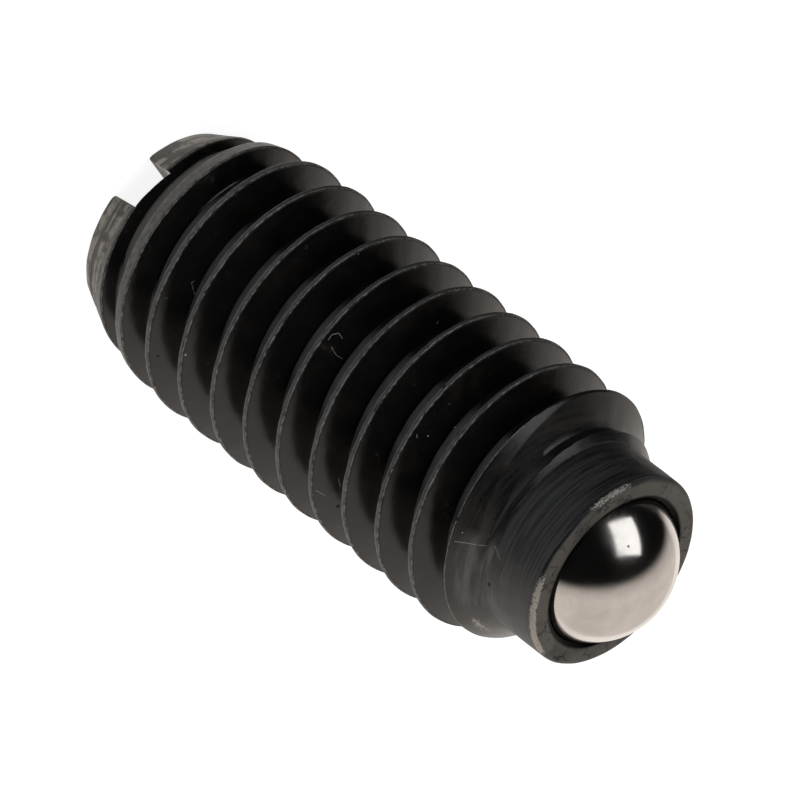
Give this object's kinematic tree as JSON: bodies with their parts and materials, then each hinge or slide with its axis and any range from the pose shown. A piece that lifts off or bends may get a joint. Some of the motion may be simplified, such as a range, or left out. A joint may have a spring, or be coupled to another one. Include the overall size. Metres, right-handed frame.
{
  "type": "ball spring plunger",
  "caption": "Threaded ball spring plunger: slotted screw body with a plain nose, and a spring-loaded steel ball held by the nose's crimped lip.",
  "frame": {"origin": "centre of the slotted end face", "axes": "+Z along the screw's axis from the slotted end to the ball, +Y along the screwdriver slot"},
  "size_m": [0.0058, 0.0058, 0.0147],
  "materials": {
    "black_oxide_steel": "satin black oxide",
    "polished_steel": "mirror polished",
    "spring_steel": "drawn wire"
  },
  "bodies": {
    "body": {"threaded_body": "black_oxide_steel", "spring": "spring_steel"},
    "ball": {"ball": "polished_steel"}
  },
  "joints": [
    {"name": "ball_press", "type": "slide", "parent": "body", "child": "ball", "axis": [0, 0, -1], "range_m": [0, 0.00108], "stiffness_N_per_m": 7600, "springref_m": -0.0008, "deforming": ["spring"]}
  ]
}
